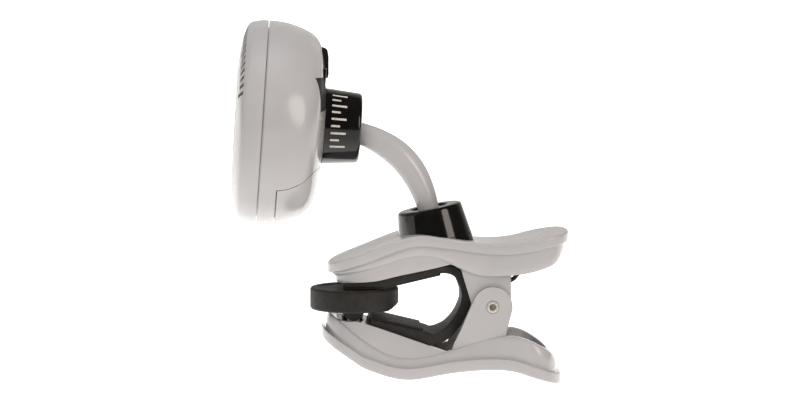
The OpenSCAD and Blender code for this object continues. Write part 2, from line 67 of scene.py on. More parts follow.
# the camera, and a product studio: a tall softbox on the right, a dim panel on the left, and two
# broad fills that mirrors don't show, in front of a sweep that is lit from behind
view = {"place": (-20.2, -596.9, 73.3), "aim": (11.1, 0, 21), "lens": 111.6, "sensor": 36}
studio = {"floor": -60, "front": -1800, "back": 1300, "high": 1900, "wide": 3000, "bend": 500,
          "hex": "#f4f3f1", "lift": 1.15, "litMiddle": (70, 850, -60), "litHalf": (1500, 700, 116),
          "fade": (1.15, 1.45), "room": "#b9b7b4", "roomLight": 0.12}
softboxes = {
    # place, aim, width and height in mm, power in watts, colour, outline, seen in mirrors
    "rightBox": ((790, -700, 360), (0, 0, 20), 460, 720, 3.3, "#fff3e9", "ELLIPSE", True),
    "leftPanel": ((-900, -160, 160), (0, 0, 20), 500, 700, 0.9, "#fffaf6", "RECTANGLE", True),
    "frontFill": ((-340, -950, 430), (10, 0, 15), 700, 700, 5.0, "#fffdfb", "RECTANGLE", False),
    "topFill": ((40, -60, 900), (10, 0, 10), 600, 500, 5.2, "#fffdfb", "RECTANGLE", False),
}


def toLinear(code):      # sRGB hex to the linear colour that a shader takes
    parts = [int(code[i:i + 2], 16) / 255 for i in (1, 3, 5)]
    return tuple(c / 12.92 if c <= 0.04045 else ((c + 0.055) / 1.055) ** 2.4 for c in parts) + (1,)


def lookAt(obj, place, aim):
    obj.location = Vector(place) * mm
    obj.rotation_euler = (Vector(aim) - Vector(place)).to_track_quat("-Z", "Y").to_euler()
    bpy.context.collection.objects.link(obj)


cameraData = bpy.data.cameras.new("camera")
cameraData.lens = view["lens"]
cameraData.sensor_width = view["sensor"]
cameraData.clip_start = 0.01
camera = bpy.data.objects.new("camera", cameraData)
lookAt(camera, view["place"], view["aim"])
bpy.context.scene.camera = camera

for name, (place, aim, width, height, power, code, outline, mirrored) in softboxes.items():
    lightData = bpy.data.lights.new(name, "AREA")
    lightData.shape = outline
    lightData.size = width * mm
    lightData.size_y = height * mm
    lightData.energy = power
    lightData.color = toLinear(code)[:3]
    light = bpy.data.objects.new(name, lightData)
    light.visible_glossy = mirrored
    lookAt(light, place, aim)
bpy.context.scene.view_settings.view_transform = "Standard"
print("view and light set")


# places and shapes, in millimetres

def plain(x, y, z):
    return Vector((x, y, z))


def inHead(across, up, back):
    return headMiddle + sideways * across + headUp * up + headBack * back


def inFront(across, up, depth):
    return inHead(across, up, -depth)


def inUpperSocket(across, up, out):
    return upperBall + sideways * across + headUp * up + headBack * out


def inLowerSocket(across, along, out):
    return lowerBall + sideways * across + sideways.cross(collarUp) * along + collarUp * out


def roundY(centre):      # the place for a lathe whose axis runs across the clamp
    return lambda x, z, y: centre + Vector((x, y, z))


def catmull(points, steps=8):      # a smooth curve through points with any number of parts
    out = []
    last = len(points) - 1
    for i in range(last):
        four = (points[max(i - 1, 0)], points[i], points[i + 1], points[min(i + 2, last)])
        for k in range(steps):
            t = k / steps
            out.append(tuple(
                0.5 * (2 * b + (c - a) * t + (2 * a - 5 * b + 4 * c - d) * t * t
                       + (3 * b - a - 3 * c + d) * t ** 3) for a, b, c, d in zip(*four)))
    out.append(tuple(points[last]))
    return out


def heightOf(points, steps=12):      # z as a function of x, from a side profile
    curve = catmull(points, steps)

    def height(x):
        k = sum(1 for p in curve[1:-1] if p[0] <= x)
        (x0, z0), (x1, z1) = curve[k], curve[k + 1]
        return z0 + (z1 - z0) * (x - x0) / (x1 - x0)
    return height


def soften(points, radius=0.2, steps=4, closed=True):      # rounds corners; a point may give its own radius
    out = []
    last = len(points) - 1
    for i, point in enumerate(points):
        here = Vector(point[:2])
        if not closed and i in (0, last):
            out.append(tuple(here))
            continue
        before = Vector(points[i - 1][:2]) - here
        after = Vector(points[(i + 1) % len(points)][:2]) - here
        reach = min(point[2] if len(point) > 2 else radius, before.length * 0.45, after.length * 0.45)
        start, end = here + before.normalized() * reach, here + after.normalized() * reach
        for k in range(steps + 1):
            t = k / steps
            out.append(tuple(start * (1 - t) ** 2 + here * 2 * t * (1 - t) + end * t * t))
    return out


def oblong(halfWide, halfThick, corner, steps=4):      # a rounded rectangle's outline
    out = []
    for k, (a, b) in enumerate(((1, 1), (-1, 1), (-1, -1), (1, -1))):
        for i in range(steps + 1):
            turn = radians(90 * (k + i / steps))
            out.append((a * (halfWide - corner) + corner * cos(turn),
                        b * (halfThick - corner) + corner * sin(turn)))
    return out


def loft(bm, loops, ends="caps"):      # quads between closed loops of one length
    rows = [[bm.verts.new(p) for p in loop] for loop in loops]
    pairs = list(zip(rows, rows[1:])) + ([(rows[-1], rows[0])] if ends == "ring" else [])
    for a, b in pairs:
        for i in range(len(a)):
            bm.faces.new((a[i - 1], a[i], b[i], b[i - 1]))
    if ends == "caps":
        bm.faces.new(rows[0])
        bm.faces.new(rows[-1])
    return rows


def lathe(bm, profile, place, steps=96, oval=1.0, ring=False):      # profile is [radius, height]
    loops = [[place(r * oval * sin(2 * pi * k / steps), r * cos(2 * pi * k / steps), h)
              for k in range(steps)] for r, h in profile]
    rows = loft(bm, loops, "ring" if ring else "open")
    if not ring:
        for row, (r, h) in ((rows[0], profile[0]), (rows[-1], profile[-1])):
            if r < 1e-6:
                bmesh.ops.pointmerge(bm, verts=row, merge_co=place(0, 0, h))
            else:
                bm.faces.new(row)


def sector(bm, section, place, start, end, steps=48):      # a closed section swept round part of a turn
    turns = [radians(start + (end - start) * k / steps) for k in range(steps + 1)]
    loft(bm, [[place(r * sin(a), r * cos(a), h) for r, h in section] for a in turns])


def tube(bm, path, radius, sides=16):      # a round wire along a path
    side = None
    loops = []
    for i, p in enumerate(path):
        way = (path[min(i + 1, len(path) - 1)] - path[max(i - 1, 0)]).normalized()
        side = way.orthogonal().normalized() if side is None else (side - way * side.dot(way)).normalized()
        other = way.cross(side)
        loops.append([p + (side * cos(2 * pi * k / sides) + other * sin(2 * pi * k / sides)) * radius
                      for k in range(sides)])
    loft(bm, loops)


def slab(bm, outline, y0, y1, place=plain, bevel=0.0):      # a flat shape in x and z, from y0 to y1
    rows = loft(bm, [[place(x, y, z) for x, z in outline] for y in (y0, y1)])
    if bevel:
        rim = [bm.edges.get((row[i - 1], row[i])) for row in rows for i in range(len(row))]
        bmesh.ops.bevel(bm, geom=rim, offset=bevel, segments=3, profile=0.5, affect="EDGES",
                        clamp_overlap=True)


def block(bm, low, high, place=plain, bevel=0.0):
    corners = [(low[0], low[2]), (high[0], low[2]), (high[0], high[2]), (low[0], high[2])]
    slab(bm, soften(corners, bevel, 3) if bevel else corners, low[1], high[1], place, bevel)


def headPlace(back, across, up):      # lets a slab or block be stated in the head's own directions
    return inHead(across, up, back)


def makePiece(name, bm, material, sharp=32):
    bmesh.ops.remove_doubles(bm, verts=bm.verts, dist=1e-4)
    bmesh.ops.recalc_face_normals(bm, faces=bm.faces)
    bmesh.ops.scale(bm, vec=(mm, mm, mm), verts=bm.verts)
    mesh = bpy.data.meshes.new(name)
    bm.to_mesh(mesh)
    bm.free()
    obj = bpy.data.objects.new(name, mesh)
    bpy.context.collection.objects.link(obj)
    mesh.materials.append(material)
    mesh.shade_smooth()
    mesh.set_sharp_from_angle(angle=radians(sharp))
    return obj


def bake(obj):      # turns the result of an object's modifiers into its plain mesh
    graph = bpy.context.evaluated_depsgraph_get()
    mesh = bpy.data.meshes.new_from_object(obj.evaluated_get(graph))
    obj.modifiers.clear()
    obj.data = mesh
    mesh.shade_smooth()
    mesh.set_sharp_from_angle(angle=radians(32))


def combine(obj, other, operation):      # cuts or adds another object, which is used up
    change = obj.modifiers.new("carve", "BOOLEAN")
    change.operation = operation
    change.solver = "EXACT"
    change.object = other
    bake(obj)
    bpy.data.objects.remove(other)


def carve(obj, bm, operation="DIFFERENCE"):      # the same with a shape that isn't an object yet
    combine(obj, makePiece("cutter", bm, obj.data.materials[0]), operation)


def carveLathe(obj, profile, place, steps=64, operation="DIFFERENCE"):
    bm = bmesh.new()
    lathe(bm, profile, place, steps)
    carve(obj, bm, operation)


def carveSlab(obj, outline, y0, y1, place=plain, operation="DIFFERENCE", bevel=0.0):
    bm = bmesh.new()
    slab(bm, outline, y0, y1, place, bevel)
    carve(obj, bm, operation)


def carveBlock(obj, low, high, place=plain, operation="DIFFERENCE"):
    bm = bmesh.new()
    block(bm, low, high, place)
    carve(obj, bm, operation)


def lathePiece(name, material, profile, place, steps=96, oval=1.0, ring=False):      # a turned shape alone
    bm = bmesh.new()
    lathe(bm, profile, place, steps, oval, ring)
    return makePiece(name, bm, material)


def merge(obj, *others):
    with bpy.context.temp_override(active_object=obj, object=obj,
                                   selected_editable_objects=[obj, *others],
                                   selected_objects=[obj, *others]):
        bpy.ops.object.join()


def settle(piece, body, slot, *nodes):      # which body it rides on, its finish slot (not used), the nodes it stands for
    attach(piece, body)
    if nodes:
        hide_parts(*nodes)


def addNode(tree, kind, settings=None, links=None):
    node = tree.nodes.new(kind)
    for key, value in (settings or {}).items():
        if isinstance(key, int) or key in node.inputs.keys():
            node.inputs[key].default_value = value
        else:
            setattr(node, key, value)
    for key, source in (links or {}).items():
        tree.links.new(source, node.inputs[key])
    return node


def buildCopiesTree():      # repeats a mesh along a line or round an axis
    tree = bpy.data.node_groups.new("spreadCopies", "GeometryNodeTree")
    for name, kind in (("mesh", "Geometry"), ("count", "Int"), ("step", "Vector"), ("axis", "Vector"),
                       ("centre", "Vector"), ("start", "Float"), ("turn", "Float"),
                       ("stretch", "Vector"), ("finish", "Material")):
        tree.interface.new_socket(name, in_out="INPUT", socket_type="NodeSocket" + kind)
    tree.interface.new_socket("mesh", in_out="OUTPUT", socket_type="NodeSocketGeometry")
    given = addNode(tree, "NodeGroupInput").outputs
    number = addNode(tree, "GeometryNodeInputIndex").outputs[0]
    shift = addNode(tree, "ShaderNodeVectorMath", {"operation": "SCALE"},
                    {0: given["step"], "Scale": number})
    dots = addNode(tree, "GeometryNodePoints", None,
                   {"Count": given["count"], "Position": shift.outputs[0]})
    many = addNode(tree, "GeometryNodeInstanceOnPoints", None,
                   {"Points": dots.outputs[0], "Instance": given["mesh"]})
    angle = addNode(tree, "ShaderNodeMath", {"operation": "MULTIPLY_ADD"},
                    {0: number, 1: given["turn"], 2: given["start"]})
    around = addNode(tree, "FunctionNodeAxisAngleToRotation", None,
                     {"Axis": given["axis"], "Angle": angle.outputs[0]})
    turned = addNode(tree, "GeometryNodeRotateInstances", {"Local Space": False},
                     {"Instances": many.outputs[0], "Rotation": around.outputs[0],
                      "Pivot Point": given["centre"]})
    real = addNode(tree, "GeometryNodeRealizeInstances", None, {0: turned.outputs[0]})
    sized = addNode(tree, "GeometryNodeTransform", None, {"Geometry": real.outputs[0],
                                                         "Scale": given["stretch"]})
    painted = addNode(tree, "GeometryNodeSetMaterial", None,
                      {"Geometry": sized.outputs[0], "Material": given["finish"]})
    addNode(tree, "NodeGroupOutput", None, {0: painted.outputs[0]})
    return tree


copiesTree = buildCopiesTree()


def copies(obj, count, step=(0, 0, 0), axis=(0, 0, 1), centre=(0, 0, 0), start=0.0, turn=0.0,
           stretch=1.0):      # lengths in mm, angles in degrees
    values = {"count": count, "step": [c * mm for c in step], "axis": list(axis),
              "centre": [c * mm for c in centre], "start": radians(start), "turn": radians(turn),
              "stretch": [1.0, stretch, 1.0], "finish": obj.data.materials[0]}
    change = obj.modifiers.new("copies", "NODES")
    change.node_group = copiesTree
    for item in copiesTree.interface.items_tree:
        if item.in_out == "INPUT" and item.name in values:
            change[item.identifier] = values[item.name]
    bake(obj)
    return obj


def makeFinish(name, look, values):
    # look holds two colours with the size of their patches in mm, the roughness range with the
    # size of its patches, and perhaps the relief's grain and depth
    material = bpy.data.materials.new(name)
    material.use_nodes = True
    tree = material.node_tree
    tree.nodes.clear()
    where = addNode(tree, "ShaderNodeTexCoord").outputs["Object"]
    where = addNode(tree, "ShaderNodeMapping", {"Scale": look.get("drawn", (1, 1, 1))}, {"Vector": where})
    first, second, patch = look["hues"]
    low, high, spot = look["rough"]
    grain, depth = look.get("relief", (1.0, 0.0))
    uneven = {}
    parts = (("hue", patch, (0, 1)), ("rough", spot, (low, high)), ("relief", grain, (0, 1)))
    for part, size, span in parts:
        noise = addNode(tree, "ShaderNodeTexNoise", {"Scale": 1 / (size * mm), "Detail": 3},
                        {"Vector": where.outputs[0]})
        spread = {"From Min": 0.3, "From Max": 0.7, "To Min": span[0], "To Max": span[1]}
        uneven[part] = addNode(tree, "ShaderNodeMapRange", spread, {"Value": noise.outputs[0]}).outputs[0]
    colour = addNode(tree, "ShaderNodeMix", {"data_type": "RGBA", 6: toLinear(first), 7: toLinear(second)},
                     {0: uneven["hue"]})
    shader = addNode(tree, "ShaderNodeBsdfPrincipled", values,
                     {"Base Color": colour.outputs[2], "Roughness": uneven["rough"]})
    if depth:
        bump = addNode(tree, "ShaderNodeBump", {"Distance": depth * mm}, {"Height": uneven["relief"]})
        tree.links.new(bump.outputs[0], shader.inputs["Normal"])
    addNode(tree, "ShaderNodeOutputMaterial", None, {"Surface": shader.outputs[0]})
    return material


# satin ABS from a polished mould: broad soft highlights that keep their edges, faint orange peel
greyAbs = makeFinish("mouldedGreyAbs", {"hues": ("#b3b1b3", "#b6b4b4", 9), "rough": (0.17, 0.24, 3),
                     "relief": (2.4, 0.0016)}, {"IOR": 1.54, "Coat Weight": 0.1, "Coat Roughness": 0.1})
# black ABS from a mirror mould: sharp reflections, with a haze of dust
darkAbs = makeFinish("polishedBlackAbs", {"hues": ("#0c0b0a", "#14120f", 2.5), "rough": (0.07, 0.15, 1.5),
                     "relief": (2.0, 0.001)}, {"IOR": 1.5, "Coat Weight": 0.15, "Coat Roughness": 0.05})
# black ABS from an etched mould: an even matte with hardly any reflection
etchedAbs = makeFinish("etchedBlackAbs", {"hues": ("#0f0e0d", "#171513", 2), "rough": (0.5, 0.65, 0.8),
                       "relief": (0.25, 0.01)}, {"IOR": 1.35})
# nitrile rubber from a spark-eroded mould: matte charcoal with a fine grain
rubber = makeFinish("mouldedRubber", {"hues": ("#1a1816", "#262320", 1.6), "rough": (0.5, 0.72, 0.8),
                    "relief": (0.22, 0.02)}, {"IOR": 1.45, "Sheen Weight": 0.05, "Sheen Roughness": 0.4})
# turned black acetal: dull sheen over fine turning marks
seatPlastic = makeFinish("blackAcetal", {"hues": ("#151413", "#1b1a18", 2), "rough": (0.35, 0.5, 0.5),
                         "relief": (0.3, 0.004)}, {"IOR": 1.48})
# bright nickel on turned steel: a warm shine, half dulled by tiny pits
nickel = makeFinish("nickelPlate", {"hues": ("#ded9d0", "#c2bbaf", 0.8), "rough": (0.2, 0.36, 0.4),
                    "relief": (0.15, 0.003)}, {"Metallic": 0.45})
# black-oxide spring wire: dark and oily
springSteel = makeFinish("blackOxideSteel", {"hues": ("#2c2927", "#3b3632", 0.6), "rough": (0.3, 0.5, 0.4),
                         "relief": (0.12, 0.004)}, {"Metallic": 0.85})
# nickel-plated sheet, rolled then stamped: streaks along the roll
sheetSteel = makeFinish("stampedSteel", {"hues": ("#b9b6b0", "#a9a59e", 3), "rough": (0.22, 0.42, 3),
                        "relief": (3, 0.004), "drawn": (1, 12, 1)}, {"Metallic": 1.0})
# dark tinted acrylic window: a deep mirror
lensPlastic = makeFinish("smokedAcrylic", {"hues": ("#0b0b0d", "#101216", 12), "rough": (0.04, 0.09, 2)},
                         {"IOR": 1.49, "Coat Weight": 0.6, "Coat Roughness": 0.03})
# pad-printed inks: thin, matte and a little uneven
whiteInk = makeFinish("whiteInk", {"hues": ("#dedad2", "#c9c4ba", 0.6), "rough": (0.45, 0.6, 0.4),
                      "relief": (0.4, 0.003)}, {"IOR": 1.5})
blackInk = makeFinish("blackInk", {"hues": ("#171515", "#262322", 0.6), "rough": (0.4, 0.55, 0.4),
                      "relief": (0.4, 0.003)}, {"IOR": 1.5})
amberInk = makeFinish("amberInk", {"hues": ("#8a4a1c", "#74401c", 0.6), "rough": (0.35, 0.5, 0.4)},
                      {"IOR": 1.5})
greenInk = makeFinish("greenInk", {"hues": ("#2f8a3c", "#2a7436", 0.6), "rough": (0.35, 0.5, 0.4)},
                      {"IOR": 1.5})
# green solder mask over copper tracks: slightly wavy gloss with lighter tracks
board = makeFinish("solderMask", {"hues": ("#174f2f", "#2a7449", 1.2), "rough": (0.28, 0.42, 1),
                   "relief": (1.2, 0.02), "drawn": (1, 0.25, 1)}, {"IOR": 1.5})
# rolled brass: warm and half dull
brass = makeFinish("sensorBrass", {"hues": ("#c19b4a", "#a78238", 2), "rough": (0.25, 0.45, 0.5)},
                   {"Metallic": 1.0})
# opal acrylic sheet that spreads the lamp's light
opal = makeFinish("opalAcrylic", {"hues": ("#e6e5df", "#dddcd5", 4), "rough": (0.4, 0.55, 0.6)},
                  {"IOR": 1.49, "Subsurface Weight": 0.2, "Subsurface Radius": (0.002, 0.002, 0.002)})
# the display's own dark glass
glass = makeFinish("panelGlass", {"hues": ("#15181b", "#1a1d22", 6), "rough": (0.05, 0.12, 4)},
                   {"IOR": 1.52})
print("materials made")


# clamp levers: side profiles in x and z, and half of the outline seen from above in x and y
upperLever = {
    "plan": [(-6.5, 0), (-5.9, 4.4), (-3.2, 8.6), (3, 11), (13, 11.5), (21.5, 10.7), (30, 9),
             (36.5, 10.6), (43, 12.4), (48.6, 10.6), (51.2, 6), (51.8, 0)],
    "edge": [(-6.5, 6.1), (1.7, 9), (13.3, 13.1), (21.1, 12.7), (30.4, 11.2), (38.2, 11.2),
             (45.8, 12.8), (51.8, 14)],
    "belly": [(-6.5, 2.6), (4.7, 5.5), (13.3, 8.1), (20, 7.6), (25.5, 4.9), (30.5, 3.2),
              (38, 3.5), (45, 5.1), (48.4, 6.6), (50.4, 8.4), (52, 10.2)],
    "inner": [(-6.5, 1.3), (-2.9, 1.6), (4.7, 2.3), (10.3, 3.6), (20.4, 5.65), (30, 8)],
    "rim": 2.45, "outward": 1,
}
lowerLever = {
    "plan": [(-8, 0), (-7.4, 4.4), (-4.6, 8.4), (2, 10.8), (12, 11.2), (21.5, 10.6), (30, 9.7),
             (36.5, 10.6), (42, 12.2), (46.8, 10.6), (49.5, 6), (50.2, 0)],
    "edge": [(-8, -11.4), (-6.6, -12.9), (-1, -16.6), (3, -18.9), (12.1, -21.3), (24.2, -19.8), (36.3, -19.4),
             (44, -21.4), (50.2, -23.6)],
    "belly": [(-8, -6.4), (-6.4, -6.2), (-4.8, -6.7), (1.5, -11.7), (7.6, -15.4), (14, -16.4), (22.9, -14.7),
              (30.4, -12.2), (37, -11.3), (41.4, -12), (46.2, -14.7), (48.6, -17), (50.2, -19.4)],
    "inner": [(-8, -6.6), (-5, -7.2), (-1.8, -7.6), (2.8, -8.1), (21.4, -14.7), (30, -17.7)],
    "rim": 2.75, "outward": -1,
}
leverWalls = {"round": 0.5, "innerRound": 0.3, "bellyInset": 1.1, "lowest": -25, "bulge": 0.9,
              "innerInset": 2.0, "wall": 1.7, "foot": 0.4, "roof": 2.4, "columns": 14, "steps": 10}
ears = {      # the outline goes up to the round eye, over it and down again
    "round": 4.8, "bevel": 0.2, "hole": 1.56, "through": 12,
    "upper": {"up": [(24.6, 8.6), (25.7, 4.1)], "turn": (172, 385), "down": [(37.3, 2.5), (38.6, 8.6)],
              "span": (4.9, 6.4)},
    "lower": {"up": [(22.4, -17.6), (22.9, -15.1)], "turn": (172, -19),
              "down": [(35.8, -11.7), (36.6, -17.6)], "span": (6.7, 7.95)},
}
seat = {      # the lower collar's seat in the upper lever, with heights from the ball's middle
    "hole": 8.38, "top": -3.2, "ringTop": -3.3, "ringFoot": -5.6, "clear": 0.1, "slope": -0.154,
    "radius": 8.93, "bottom": -8, "open": 6,
}
tipFill = {"from": -7.4, "to": 3.5, "steps": 12, "inset": 2.6, "floor": 1.2, "top": -5.4,
           "cheek": (4.3, 5.9), "cheekRadius": 1.5, "trough": 2.6, "troughHalf": 4.2, "pinHole": 0.82,
           "pinHalf": 5.95, "blank": (-30, 0), "across": 14}


def planLoop(plan, inset):      # the outline seen from above, moved in by an inset
    half = catmull(plan, leverWalls["steps"])
    last = len(half) - 1
    moved = []
    for i, (x, y) in enumerate(half):
        before = half[i - 1] if i else (half[1][0], -half[1][1])
        after = half[i + 1] if i < last else (half[last - 1][0], -half[last - 1][1])
        way = Vector((after[0] - before[0], after[1] - before[1])).normalized()
        moved.append((x + way.y * inset, y - way.x * inset))
    moved[0], moved[-1] = (moved[0][0], 0.0), (moved[-1][0], 0.0)
    return moved + [(x, -y) for x, y in reversed(moved[1:-1])]


def leverRings(lever):
    walls, out, rim = leverWalls, lever["outward"], lever["rim"]
    edge, belly, innerLine = (heightOf(lever[key]) for key in ("edge", "belly", "inner"))
    bend = [(1 - sin(a), 1 - cos(a)) for a in (radians(15 * k) for k in range(7))]

    def inner(x):      # the inner wall stands past the belly only in the jaw
        return (min if out > 0 else max)(belly(x), innerLine(x))

    def foot(x):
        return inner(x) + out * min(walls["foot"], abs(belly(x) - inner(x)))

    def down(a):      # part of the way down the belly's wall, which bulges as a quarter of an ellipse
        part = (sin(a) - sin(lowest)) / (1 - sin(lowest))
        return lambda x: (edge(x) - out * rim) * (1 - part) + belly(x) * part

    lowest = radians(walls["lowest"])
    outerRound, innerRound = walls["round"], walls["innerRound"]
    start, wall = walls["bellyInset"], walls["innerInset"]
    inside, roof = wall + walls["wall"], walls["roof"]
    rings = [(outerRound * u, edge, -outerRound * v) for u, v in bend]
    rings += [(innerRound * u, edge, -rim + innerRound * v) for u, v in reversed(bend)]
    rings += [(start - 0.2, edge, -rim), (start - 0.02, edge, -rim - 0.03)]
    rings += [(start + walls["bulge"] * (1 - cos(a)), down(a), 0)
              for a in (lowest + (pi / 2 - lowest) * k / 12 for k in range(1, 13))]
    rings += [(wall, foot, 0), (wall + 0.4 * walls["foot"], inner, 0)]
    rings += [(inside - innerRound * u, inner, innerRound * v) for u, v in bend]
    rings += [(inside, edge, -roof - 0.5), (inside + 0.15, edge, -roof - 0.14),
              (inside + 0.5, edge, -roof)]
    return [[Vector((x, y, height(x) + out * shift)) for x, y in planLoop(lever["plan"], inset)]
            for inset, height, shift in rings]


def closeLoop(bm, row):      # rows of faces straight across, so that a curved top stays smooth
    half = len(row) // 2
    columns = leverWalls["columns"]
    lines = [[row[i]] + [bm.verts.new(row[i].co.lerp(row[-i].co, k / columns))
                         for k in range(1, columns)] + [row[-i]] for i in range(1, half)]
    for a, b in zip(lines, lines[1:]):
        for k in range(columns):
            bm.faces.new((a[k], a[k + 1], b[k + 1], b[k]))
    for tip, line in ((row[0], lines[0]), (row[half], lines[-1])):
        for k in range(columns):
            bm.faces.new((tip, line[k], line[k + 1]))


def buildLever(name, lever):
    bm = bmesh.new()
    rows = loft(bm, leverRings(lever), "open")
    closeLoop(bm, rows[0])
    closeLoop(bm, rows[-1])
    return makePiece(name, bm, greyAbs)


def arc(centre, radius, start, end, steps):      # points on a circle, between angles in degrees
    turns = [radians(start + (end - start) * k / steps) for k in range(steps + 1)]
    return [(centre[0] + radius * cos(a), centre[1] + radius * sin(a)) for a in turns]


def addEars(obj, ear):
    outline = ear["up"] + arc((pivot.x, pivot.z), ears["round"], *ear["turn"], 36) + ear["down"]
    near, far = ear["span"]
    for side in (-1, 1):
        carveSlab(obj, outline, side * near, side * far, plain, "UNION", ears["bevel"])


pivotHole = [(ears["hole"], -ears["through"]), (ears["hole"], ears["through"])]
upperJaw = buildLever("upperLever", upperLever)
addEars(upperJaw, ears["upper"])
carveLathe(upperJaw, pivotHole, roundY(pivot))


def seatRadius(z):      # the collar's cone, also below it, where a black ring fills down to the lever
    return seat["radius"] + seat["slope"] * (z - seat["top"])


carveLathe(upperJaw, [(seat["hole"], seat["bottom"]), (seat["hole"], seat["top"])]
           + [(seatRadius(z) + seat["clear"], z) for z in (seat["top"], seat["open"])], inLowerSocket, 96)
top, foot = seat["ringTop"], seat["ringFoot"]
merge(upperJaw, lathePiece("baseRing", darkAbs, [(seat["hole"], top), (seatRadius(top), top),
                           (seatRadius(foot), foot), (seat["hole"], foot)], inLowerSocket, ring=True))
settle(upperJaw, "top_lever", "body_abs", "upper_jaw")

lowerJaw = buildLever("lowerLever", lowerLever)
addEars(lowerJaw, ears["lower"])
lowerEdge, lowerInner = heightOf(lowerLever["edge"]), heightOf(lowerLever["inner"])
fillSpan = [tipFill["from"] + (tipFill["to"] - tipFill["from"]) * k / tipFill["steps"]
            for k in range(tipFill["steps"] + 1)]
bm = bmesh.new()      # solid tip between the walls, which holds the pad's hinge
loft(bm, [[Vector((x, y, z)) for x, y in planLoop(lowerLever["plan"], tipFill["inset"])]
          for z in tipFill["blank"]])
fill = makePiece("fill", bm, greyAbs)
carveSlab(fill, [(x, lowerInner(x) - 0.02) for x in fillSpan]
          + [(x, lowerEdge(x) + tipFill["floor"]) for x in reversed(fillSpan)],
          -tipFill["across"], tipFill["across"], operation="INTERSECT")
for side in (-1, 1):
    near, far = side * tipFill["cheek"][0], side * tipFill["cheek"][1]
    cheek = [(0, near), (tipFill["cheekRadius"], near), (tipFill["cheekRadius"], far), (0, far)]
    carveLathe(fill, soften(cheek, 0.2, 3, False), roundY(barrel), 48, "UNION")
carveLathe(fill, [(tipFill["trough"], -tipFill["troughHalf"]),
                  (tipFill["trough"], tipFill["troughHalf"])], roundY(barrel))
carveLathe(fill, [(tipFill["pinHole"], -tipFill["pinHalf"]), (tipFill["pinHole"], tipFill["pinHalf"])],
           roundY(barrel), 32)
carveLathe(lowerJaw, pivotHole, roundY(pivot))
for obj in (lowerJaw, fill):      # a flat top under the pad
    carveBlock(obj, (-12, -20, tipFill["top"]), (4, 20, 4))
merge(lowerJaw, fill)
settle(lowerJaw, "clamp_base", "body_abs", "lower_jaw")
print("levers made")


# pin, spring and pad
pin = {"radius": 1.5, "half": 8.1, "recess": 0.8, "deep": 2.0}
spring = {"wire": 0.55, "coil": 2.7, "turns": 4, "from": 125, "half": 3.6, "sides": 12, "steps": 128,
          "upperLeg": ((10.2, 12.4), (5.6, 6.5)), "lowerLeg": ((3.2, -7.2), (4.6, -12.1))}
pad = {"radius": 10.7, "thick": 4.3, "dish": 0.35, "skirt": 5.25, "plateRadius": 7.5, "clear": 0.1,
       "plate": 1.0, "barrel": 2.3, "bore": 0.85, "half": 4.0, "neck": 1.6, "neckTop": 1.2,
       "flat": ((10.9, -3.55), (7.6, -5.35), (12, -6)), "flatHalf": 12, "lug": (-0.35, -5.0),
       "lugRadius": 2.5, "lugSpan": (6.0, 6.6)}

pinHalf = [(0, pin["half"] - pin["deep"] - 0.4), (pin["recess"], pin["half"] - pin["deep"]),
           (pin["recess"], pin["half"], 0.12), (pin["radius"], pin["half"], 0.35),
           (pin["radius"], 0)]
pinSide = soften(pinHalf, 0.1, 4, False)
pivotPin = lathePiece("pivotPin", nickel, pinSide + [(r, -h) for r, h in reversed(pinSide[:-1])],
                      roundY(pivot), 64)
settle(pivotPin, "clamp_base", "nickel", "pivot_pin")

sweepTurn = 360 * (spring["turns"] + 1) - 2 * spring["from"]
coilRound = arc((0, 0), spring["coil"], spring["from"], spring["from"] + sweepTurn, spring["steps"])
coil = [(x, spring["half"] * (2 * i / spring["steps"] - 1), z) for i, (x, z) in enumerate(coilRound)]
wire = [(x, -spring["half"], z) for x, z in spring["upperLeg"]] + coil \
    + [(x, spring["half"], z) for x, z in spring["lowerLeg"]]
bm = bmesh.new()
tube(bm, [pivot + Vector(p) for p in wire], spring["wire"], spring["sides"])
torsionSpring = makePiece("torsionSpring", bm, springSteel, 60)
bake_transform(torsionSpring)
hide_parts("torsion_spring")

radius, thick, dish = pad["radius"], pad["thick"], pad["dish"]
inside = pad["plateRadius"] + pad["clear"]
padSide = [(0, -dish), (radius - 2.2, -dish, 0.25), (radius - 1.6, 0, 0.2), (radius - 0.3, 0, 0.2),
           (radius, -dish, 0.2), (radius, -pad["skirt"], 0.7), (inside, -pad["skirt"], 0.1),
           (inside, -thick, 0.05), (0, -thick)]
swivelPad = lathePiece("swivelPad", rubber, soften(padSide, 0.2, 5, False), plain, 128)
carveSlab(swivelPad, pad["flat"], -pad["flatHalf"], pad["flatHalf"])      # the flat that faces the hinge
settle(swivelPad, "pad", "rubber", "swivel_pad")

bm = bmesh.new()
plateFoot = -thick - pad["plate"]
lathe(bm, soften([(0, -thick), (pad["plateRadius"], -thick, 0.1), (pad["plateRadius"], plateFoot, 0.3),
                  (0, plateFoot)], 0.2, 4, False), plain, 96)
lathe(bm, soften([(pad["bore"], -pad["half"]), (pad["barrel"], -pad["half"]), (pad["barrel"], pad["half"]),
                  (pad["bore"], pad["half"])], 0.25, 4), roundY(barrel), 64, ring=True)
block(bm, (barrel.x - pad["neck"], -pad["half"] + 0.05, barrel.z + pad["neckTop"]),
      (barrel.x + pad["neck"], pad["half"] - 0.05, plateFoot + pad["plate"] / 2))
for side in (-1, 1):      # round lugs under the pad, outside the lever's cheeks
    slab(bm, arc(pad["lug"], pad["lugRadius"], 180, 360, 24),
         side * pad["lugSpan"][0], side * pad["lugSpan"][1], plain, 0.1)
padPlate = makePiece("padPlate", bm, seatPlastic)
settle(padPlate, "pad", "black_abs", "pad_plate")
print("pin, spring and pad made")


